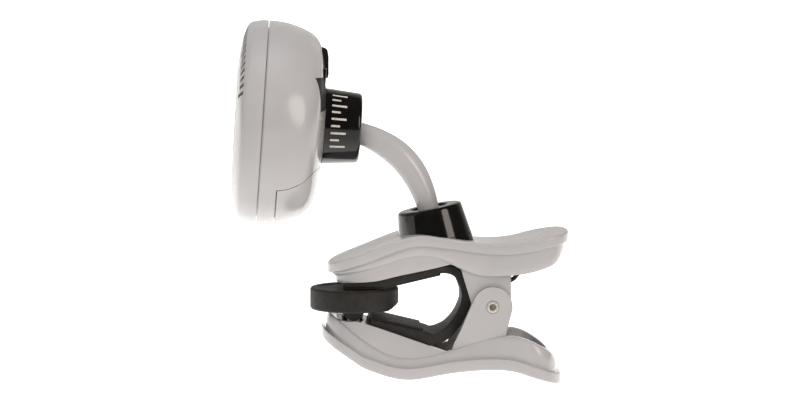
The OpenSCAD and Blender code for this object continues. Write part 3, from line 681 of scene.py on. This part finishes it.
# liner strap, its bend and its grips
upperInner = heightOf(upperLever["inner"])
underLine = heightOf([(-2.9, 0.7), (7, 0.7), (9.6, 1.45), (20.4, 3.95)], 1)
topLine = heightOf([(3.9, -6.9), (15.9, -9.8), (19.6, -10.9)], 1)
strap = {"half": 8.2, "bendHalf": 4.7, "corner": 0.3, "grip": 0.5, "gripHalf": 7.8, "gripCorner": 0.15,
         "sunk": 0.04}
full, narrow = strap["half"], strap["bendHalf"]
# each station has the free face's x and z, the lever side's x and z, and half the width
stations = [(3.8, -7.15, 3.42, -8.1, full - 0.2), (4.05, -6.95, 3.6, lowerInner(3.6), full)]
stations += [(x, topLine(x), x, lowerInner(x), full) for x in (5, 8, 12, 15.9, 17.8)]
stations += [(18.9, -10.7, 19.2, -13.1, full - 0.1), (20.6, -10.1, 21.4, -12.6, full - 0.9),
             (22.3, -8.9, 23.7, -11, narrow + 1.2), (23.9, -7, 25.8, -8.6, narrow + 0.3),
             (25, -5, 27.2, -5.9, narrow), (25.7, -3, 28.1, -3, narrow), (25.6, -0.6, 27.4, 1.2, narrow),
             (24.4, 2.3, 25, 4.7, narrow + 0.2), (22.9, 3.5, 22.9, 5.5, narrow + 1.5),
             (20.9, 3.98, 20.9, 5.7, full - 0.3)]
stations += [(x, underLine(x), x, upperInner(x) + 0.03, full) for x in (19, 15, 11, 9.6, 8, 7, 4, 0, -2.6)]
stations += [(-2.9, 0.72, -2.9, upperInner(-2.9), full),
             (-3.05, 0.95, -3.05, upperInner(-3) - 0.2, full - 0.25)]


def bandLoop(station, corner):
    xi, zi, xo, zo, half = station
    across = Vector((xo - xi, zo - zi))
    way = across.normalized()
    return [Vector(((xi + xo) / 2 + way.x * v, u, (zi + zo) / 2 + way.y * v))
            for u, v in oblong(half, across.length / 2, corner)]


bm = bmesh.new()
loft(bm, [bandLoop(s, strap["corner"]) for s in catmull(stations, 5)])
linerStrap = makePiece("linerStrap", bm, rubber, 50)
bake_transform(linerStrap)
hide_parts("lower_liner", "liner_bend", "upper_liner")


def buildGrip(name, face, away, places):      # a thin layer on the liner's free face
    bm = bmesh.new()
    loft(bm, [bandLoop((x, face(x) + away * strap["grip"], x, face(x) - away * strap["sunk"],
                        strap["gripHalf"]), strap["gripCorner"]) for x in places])
    return makePiece(name, bm, rubber, 50)


upperGrip = buildGrip("upperGrip", underLine, -1, (20.4, 18, 15, 12, 10.2, 9.6, 8.9, 7.6, 7, 6.2, 3, 0, -2.9))
settle(upperGrip, "top_lever", "rubber", "upper_grip")
lowerGrip = buildGrip("lowerGrip", topLine, 1, (3.95, 7, 10, 13, 16.2))
settle(lowerGrip, "clamp_base", "rubber", "lower_grip")
print("liner made")


# arm and collars
arm = {"ball": 4.8, "pull": 14.5, "down": 16, "lean": 12, "neck": 4.5, "swell": 2.0, "wider": 0.3,
       "from": 0.07, "to": 0.93, "steps": 56, "sides": 40}
lowerCollar = {"base": (8.93, -3.2), "top": (7.75, 4.44), "corner": 0.8, "lip": 4.3, "flare": 0.5}
upperCollar = {"base": (9.15, -4.35), "top": (8.35, 4.5), "corner": 1.0, "lip": 5.0, "flare": 0.9}
collarInside = {"seat": 6.26, "floor": -5.05, "spigot": 8.3, "seatTop": 3.03}
levelMarks = {"count": 9, "turn": 11, "raised": 15, "long": 3.6, "short": 2.1, "halfWide": 0.25,
              "proud": 0.03, "sunk": 0.1, "from": -2.8}

down, lean = radians(arm["down"]), radians(arm["lean"])
ends = [upperBall, upperBall + Vector((cos(down), 0, -sin(down))) * arm["pull"],
        lowerBall + Vector((-sin(lean), 0, cos(lean))) * arm["pull"], lowerBall]


def armPoint(t):
    return sum((p * c for p, c in zip(ends, ((1 - t) ** 3, 3 * t * (1 - t) ** 2,
                                             3 * t * t * (1 - t), t ** 3))), Vector())


def armLoop(t):
    way = (armPoint(t + 0.005) - armPoint(t - 0.005)).normalized()
    outside = Vector((-way.z, 0, way.x))
    half = (arm["neck"] + arm["swell"] * sin(pi * t)) / 2
    return [armPoint(t) + outside * half * sin(2 * pi * k / arm["sides"])
            + sideways * (half + arm["wider"]) * cos(2 * pi * k / arm["sides"])
            for k in range(arm["sides"])]


bm = bmesh.new()
loft(bm, [armLoop(arm["from"] + (arm["to"] - arm["from"]) * k / arm["steps"])
          for k in range(arm["steps"] + 1)])
ballSide = [(arm["ball"] * sin(pi * k / 48), arm["ball"] * cos(pi * k / 48)) for k in range(49)]
ballSide[0], ballSide[-1] = (0, arm["ball"]), (0, -arm["ball"])
for centre in (upperBall, lowerBall):
    lathe(bm, ballSide, roundY(centre), 72)
swivelArm = makePiece("swivelArm", bm, greyAbs, 50)
settle(swivelArm, "arm", "body_abs", "swivel_arm")


def markSection(marks, proud):      # across a printed mark, and out from the face below it
    half, sunk = marks["halfWide"], marks["sunk"]
    return [(-half, -sunk), (half, -sunk), (half, proud), (-half, proud)]


def buildCollar(name, place, sizes):
    inner, floor, spigot, innerTop = (collarInside[key] for key in ("seat", "floor", "spigot", "seatTop"))
    (baseRadius, base), (topRadius, top) = sizes["base"], sizes["top"]
    lip, flare = sizes["lip"], sizes["flare"]
    side = [(inner, floor), (spigot, floor), (spigot, base, 0.05), (baseRadius, base, 0.15),
            (topRadius, top, sizes["corner"]), (lip + flare, top, 0.25), (lip, top - flare, 0.2),
            (lip, innerTop, 0.05), (inner, innerTop, 0.05)]
    return lathePiece(name, darkAbs, soften(side, 0.1, 6), place, 128, ring=True)


collarLow = buildCollar("lowerCollar", inLowerSocket, lowerCollar)
settle(collarLow, "lower_seat", "black_abs", "lower_collar")

collarHigh = buildCollar("upperCollar", inUpperSocket, upperCollar)
collarSide = heightOf([(base, radius) for radius, base in (upperCollar["base"], upperCollar["top"])], 1)
for offset, key in enumerate(("long", "short")):      # they take turns round the collar
    section, low = markSection(levelMarks, levelMarks["proud"]), levelMarks["from"]
    bm = bmesh.new()
    loft(bm, [[inUpperSocket(u, collarSide(z) + v, z) for u, v in section]
              for z in (low, low + levelMarks[key])])
    first = 90 - levelMarks["raised"] - levelMarks["turn"] * ((levelMarks["count"] - 1) / 2 - offset)
    marks = copies(makePiece("marks", bm, whiteInk), (levelMarks["count"] + 1 - offset) // 2,
                   axis=headBack, centre=upperBall, start=first, turn=2 * levelMarks["turn"])
    merge(collarHigh, marks)
settle(collarHigh, "upper_seat", "black_abs", "upper_collar")
print("arm and collars made")


# head
headSize = {"oval": 57 / 49, "steps": 160, "deep": 14.7, "inside": 13.1, "wall": 22.9 / 24.5,
            "rim": [(24.47, 0.12), (24.38, -0.05), (23.0, -0.05)]}
rearSide = [(24.48, -0.05), (24.4, 1.5), (24.1, 4.2), (23.35, 7.0), (22.3, 9.6), (21.2, 11.1),
            (19.6, 12.3), (17.2, 13.1), (13.4, 13.7), (9.4, 14.2), (5.4, 14.55), (0, 14.7)]
frontSide = [(24.48, 0.5), (24.36, 2.2), (24.0, 3.9), (23.72, 4.6), (23.3, 5.1), (22.7, 5.42),
             (21.6, 5.82), (19.4, 6.42), (17.4, 6.8)]
doorLine = [(4, -14.6), (6.2, -14.2), (8.6, -13.2), (10.2, -12.1), (11.6, -10.5), (13, -9.4)]
door = {"gap": 0.13, "past": 22, "below": -32, "reach": 40, "grips": 5, "gripHalfLong": 6.5,
        "gripHalfWide": 0.25, "deep": 0.3, "first": (15.5, 13.42), "last": (19.0, 12.62)}
# the hole for the upper collar: its spigot, then its base, which sits in the dome
collarHole = [(8.38, 8), (8.38, 13.9), (9.27, 13.9), (9.27, 20)]
bay = {      # the lip that the front shell closes over, and the battery's bay
    "lip": [(21.65, -1.35), (22.65, -1.35), (22.65, -0.3), (24.2, -0.3), (24.2, 0.6), (23.4, 1.4),
            (21.65, 1.4)],
    "floor": [(0, 3.6), (22.75, 3.6), (22.6, 4.8), (0, 4.8)], "cut": ((0, -40, 1.2), (9, 40, 40)),
    "top": ((4, -12, 0), (9.6, 12, 1.2)), "side": ((8.8, -12, -9), (9.7, 12, 0.6)),
}
panel = {"inner": 9.7, "outer": 18.9, "half": 57, "wing": 20, "wingLow": 4.4, "wingHigh": 12, "gap": 0.15,
         "arch": (9, 20), "straight": (8, 21), "hole": (7, 22), "flat": ((12.4, -6.2, 2), (18, 6.2, 30)),
         "slot": ((9, -3.2, 14.2), (14, 3.2, 16.4)), "buttonAt": 40, "buttonRing": 15.3, "buttonHole": 2.72}
power = {"radius": 1.88, "hole": 2.0, "up": -19.4, "foot": 3.0, "top": 6.3}
lens = {"radius": 16.93, "opening": 17.1, "ledge": 15.5, "back": 5.75, "clear": 0.05}
frontInside = [(19, 4.7), (20.6, 4.3), (21.9, 3.5), (22.6, 2.2), (22.9, 0.46)]
needle = {"ring": 13.3, "long": 2.6, "halfWide": 0.25, "turn": 6, "side": 9, "sunk": 0.1, "proud": 0.012}
bezelMarks = {"turn": 5, "major": 7, "majors": 5, "minors": 29, "outer": 22.9, "long": 3.8, "short": 2.6,
              "halfWide": 0.425, "sunk": 0.15}


def smoothSide(side, steps=4):
    return [(max(r, 0.0), h) for r, h in catmull(side, steps)]


def growDoor(gap):      # the door's outline in the head's own directions, back and up
    edge = catmull([(back, up + gap) for back, up in doorLine], 4)
    side = edge[0][0] - 2 * gap
    return [(side, edge[0][1])] + edge[1:] + [(door["past"], edge[-1][1]), (door["past"], door["below"]),
                                              (side, door["below"])]


def buildWall(name, material):      # the rear wall, the same for the shell, its door and the inlaid panel
    outer = smoothSide(rearSide)
    deep, inside = headSize["deep"], headSize["inside"]
    inner = [(r * headSize["wall"], h * inside / deep) for r, h in outer]
    return lathePiece(name, material, [(0, deep)] + outer[-2:0:-1] + headSize["rim"] + inner[1:-1]
                      + [(0, inside)], inHead, headSize["steps"], headSize["oval"])


def panelRegion(gap):      # an arch over the collar, with a straight wing on each side
    low, high = panel["inner"] - gap, panel["outer"] + gap
    wing, turn = panel["wing"] + gap, panel["half"] + 3 * gap
    (archBack, archOut), (back, out) = panel["arch"], panel["straight"]
    bm = bmesh.new()
    sector(bm, [(low, archBack), (high, archBack), (high, archOut), (low, archOut)], inHead, -turn, turn)
    region = makePiece("region", bm, darkAbs)
    carveBlock(region, (back, -wing, panel["wingLow"] - gap), (out, wing, panel["wingHigh"] + gap),
               headPlace, "UNION")
    carveLathe(region, [(low, h) for h in panel["hole"]], inHead, 96)
    return region


rearShell = buildWall("rearShell", greyAbs)
batteryDoor = buildWall("batteryDoor", greyAbs)
reach = door["reach"]
carveSlab(batteryDoor, growDoor(0), -reach, reach, headPlace, "INTERSECT")
carveSlab(rearShell, growDoor(door["gap"]), -reach, reach, headPlace)
combine(rearShell, panelRegion(panel["gap"]), "DIFFERENCE")
carveLathe(rearShell, collarHole, inHead, 96)

lip = lathePiece("lip", greyAbs, bay["lip"], inHead, headSize["steps"], headSize["oval"], True)
bayFloor = lathePiece("bayFloor", greyAbs, bay["floor"], inHead, 96, headSize["oval"])
carveBlock(bayFloor, *bay["cut"], headPlace)
bm = bmesh.new()
block(bm, *bay["top"], headPlace)
block(bm, *bay["side"], headPlace)
bayWalls = makePiece("bayWalls", bm, greyAbs)
merge(rearShell, lip, bayFloor, bayWalls)
settle(rearShell, "head", "body_abs", "rear_shell")

bm = bmesh.new()
for k in range(door["grips"]):      # finger grooves, from radius and depth on the door's outer face
    radius, depth = Vector(door["first"]).lerp(Vector(door["last"]), k / (door["grips"] - 1))
    block(bm, (depth - door["deep"], -door["gripHalfLong"], -radius - door["gripHalfWide"]),
          (depth + 2, door["gripHalfLong"], -radius + door["gripHalfWide"]), headPlace)
carve(batteryDoor, bm)
settle(batteryDoor, "door", "body_abs", "battery_door")

opening, ledge, back = lens["opening"], lens["ledge"], lens["back"]
frontLoop = [(24.34, 0.46), (24.45, 0.62)] + smoothSide(frontSide)[1:]
frontLoop += [(opening + 0.1, 6.8), (opening, 6.7), (opening, back), (ledge, back), (ledge, 4.7)]
frontShell = lathePiece("frontShell", greyAbs, frontLoop + frontInside, inFront, headSize["steps"],
                        headSize["oval"], True)


def atPower(x, y, h):      # places measured from the middle of the power button
    return inFront(x, y + power["up"], h)


def spreadMarks(obj, ink, section, radii, depthAt, first, count, turn):
    bm = bmesh.new()      # one printed mark, which is repeated round the display
    loft(bm, [[inFront(u, r, depthAt(r) + d) for u, d in section] for r in radii])
    merge(obj, copies(makePiece("marks", bm, ink), count, axis=headBack, centre=headMiddle, start=first,
                      turn=turn, stretch=headSize["oval"]))


carveLathe(frontShell, [(power["hole"], 0), (power["hole"], 12)], atPower, 48)
bezelDepth = heightOf([(-r, h) for r, h in frontSide[3:]])
for length, count, turn, proud in (
        (bezelMarks["long"], bezelMarks["majors"], bezelMarks["turn"] * bezelMarks["major"], 0.02),
        (bezelMarks["short"], bezelMarks["minors"], bezelMarks["turn"], 0.012)):
    spreadMarks(frontShell, blackInk, markSection(bezelMarks, proud),
                [bezelMarks["outer"] - length * k / 4 for k in range(5)], lambda r: bezelDepth(-r),
                -turn * (count - 1) / 2, count, turn)
settle(frontShell, "head", "body_abs", "front_shell")

lensSide = [(0, 7.5), (4, 7.47), (8, 7.38), (12, 7.2), (15, 7.02), (16.3, 6.92), (16.75, 6.82),
            (lens["radius"], 6.6)]
lensBack = [(r, back + lens["clear"]) for r in (lens["radius"], 0)]
displayLens = lathePiece("displayLens", lensPlastic, smoothSide(lensSide) + lensBack, inFront,
                         headSize["steps"], headSize["oval"])
lensDepth = heightOf(lensSide)
turn, side = needle["turn"], needle["side"]
for first, count, ink in ((-turn * side, side, amberInk), (turn, side, amberInk), (0, 1, greenInk)):
    spreadMarks(displayLens, ink, markSection(needle, needle["proud"]),
                [needle["ring"] + needle["long"] * k / 2 for k in (-1, 0, 1)], lensDepth, first, count, turn)
settle(displayLens, "head", "lens_acrylic", "display_lens")
print("shells and lens made")


# controls
knob = {"side": [(12.5, 11.7), (14.5, 11.7), (14.45, 13.2), (14.15, 17.4), (13.9, 18.5), (12.9, 18.85),
                 (12.5, 18.8)], "half": 4.0, "stem": ((10.1, -1.2, 14.5), (12.7, 1.2, 16.1)),
        "ridgeSide": [(13.4, 12.3), (14.62, 12.3), (14.5, 14), (14.28, 17.2), (13.4, 17.6)],
        "ridges": 7, "apart": 1.0, "ridgeHalf": 0.21}
button = {"radius": 2.6, "back": 10.6, "stem": 1.2, "flange": 11.4, "top": 13.8}

controlPanel = buildWall("controlPanel", etchedAbs)
combine(controlPanel, panelRegion(0), "INTERSECT")
for key in ("flat", "slot"):      # a flat for the knob to slide on, and the slot for its stem
    carveBlock(controlPanel, *panel[key], headPlace)


def atButton(side):      # places measured from the middle of one rear button
    turn = radians(panel["buttonAt"]) * side
    return lambda x, y, h: inHead(x + panel["buttonRing"] * sin(turn), y + panel["buttonRing"] * cos(turn), h)


for side in (-1, 1):
    carveLathe(controlPanel, [(panel["buttonHole"], 8), (panel["buttonHole"], 18)], atButton(side))
settle(controlPanel, "head", "black_abs", "control_panel")

back, stem, flange, top = (button[key] for key in ("back", "stem", "flange", "top"))
for side, name, body, node in ((-1, "leftButton", "left_key", "left_button"),
                               (1, "rightButton", "right_key", "right_button")):
    buttonSide = [(0, back), (stem, back), (stem, flange), (button["radius"], flange),
                  (button["radius"], top, 0.3), (1.9, top + 0.05, 0.3), (1.2, top - 0.15, 0.5),
                  (0, top - 0.2)]
    settle(lathePiece(name, darkAbs, soften(buttonSide, 0.1, 5, False), atButton(side), 72), body,
           "black_abs", node)

bm = bmesh.new()
slab(bm, soften(knob["side"], 0.3), -knob["half"], knob["half"], headPlace, 0.25)
block(bm, *knob["stem"], headPlace)
slideKnob = makePiece("slideKnob", bm, etchedAbs)
bm = bmesh.new()
slab(bm, soften(knob["ridgeSide"], 0.25), -knob["ridgeHalf"], knob["ridgeHalf"], headPlace, 0.12)
ridges = makePiece("ridges", bm, etchedAbs)
ridges.data.transform(Matrix.Translation((0, -knob["apart"] * (knob["ridges"] - 1) / 2 * mm, 0)))
merge(slideKnob, copies(ridges, knob["ridges"], step=(0, knob["apart"], 0)))
settle(slideKnob, "mode_knob", "black_abs", "slide_knob")

radius, foot, top = power["radius"], power["foot"], power["top"]
powerSide = [(0, foot), (radius, foot), (radius, top - 0.25, 0.35), (radius - 0.8, top, 0.4), (0, top)]
powerButton = lathePiece("powerButton", darkAbs, soften(powerSide, 0.2, 5, False), atPower, 64)
settle(powerButton, "power_key", "black_abs", "power_button")
print("controls made")


# inner parts, which keep their CAD shape
innerFinish = {
    "lower_socket_plate": greyAbs, "upper_socket_plate": greyAbs, "lower_ball_seat": seatPlastic,
    "upper_ball_seat": seatPlastic, "lower_socket_screws": nickel, "upper_socket_screws": nickel,
    "pad_pin": nickel, "case_screws": nickel, "display_panel": glass, "light_diffuser": opal,
    "circuit_board": board, "board_chips": seatPlastic, "piezo_sensor": brass,
    "coin_battery": sheetSteel, "battery_positive_clip": sheetSteel,
    "battery_negative_spring": sheetSteel, "slide_switch_body": sheetSteel,
    "button_switches": seatPlastic, "power_switch": sheetSteel,
}
for name, finish in innerFinish.items():
    frame["nodes"][name].data.materials.clear()
    frame["nodes"][name].data.materials.append(finish)
print("inner parts finished")


# floor and room
bend, bendStart = studio["bend"], studio["back"] - studio["bend"]
curve = [(studio["front"], studio["floor"]), (bendStart, studio["floor"])]
curve += arc((bendStart, studio["floor"] + bend), bend, -84, 0, 14) + [(studio["back"], studio["high"])]
bm = bmesh.new()
rows = [[bm.verts.new((x, y, z)) for y, z in curve] for x in (-studio["wide"], studio["wide"])]
for i in range(len(curve) - 1):
    bm.faces.new((rows[0][i], rows[1][i], rows[1][i + 1], rows[0][i + 1]))
# matte background paper, lit from behind so that it burns out to white past the object
code = studio["hex"]
paper = makeFinish("paperSweep", {"hues": (code, code, 50), "rough": (0.85, 0.95, 20)},
                   {"Emission Color": toLinear(code)})
tree = paper.node_tree
shader = next(node for node in tree.nodes if node.type == "BSDF_PRINCIPLED")
part = addNode(tree, "ShaderNodeTexCoord").outputs["Object"]
for operation, key in (("SUBTRACT", "litMiddle"), ("DIVIDE", "litHalf")):      # the lit patch is an ellipsoid
    part = addNode(tree, "ShaderNodeVectorMath", {"operation": operation, 1: [c * mm for c in studio[key]]},
                   {0: part}).outputs[0]
reach = addNode(tree, "ShaderNodeVectorMath", {"operation": "LENGTH"}, {0: part})
lift = addNode(tree, "ShaderNodeMapRange", {"From Min": studio["fade"][0], "From Max": studio["fade"][1],
               "To Min": studio["lift"], "To Max": 0.0}, {"Value": reach.outputs["Value"]})
tree.links.new(lift.outputs[0], shader.inputs["Emission Strength"])
sweep = makePiece("sweep", bm, paper)
world = bpy.data.worlds.new("room")
world.use_nodes = True
room = next(node for node in world.node_tree.nodes if node.type == "BACKGROUND")
room.inputs["Color"].default_value = toLinear(studio["room"])
room.inputs["Strength"].default_value = studio["roomLight"]
bpy.context.scene.world = world
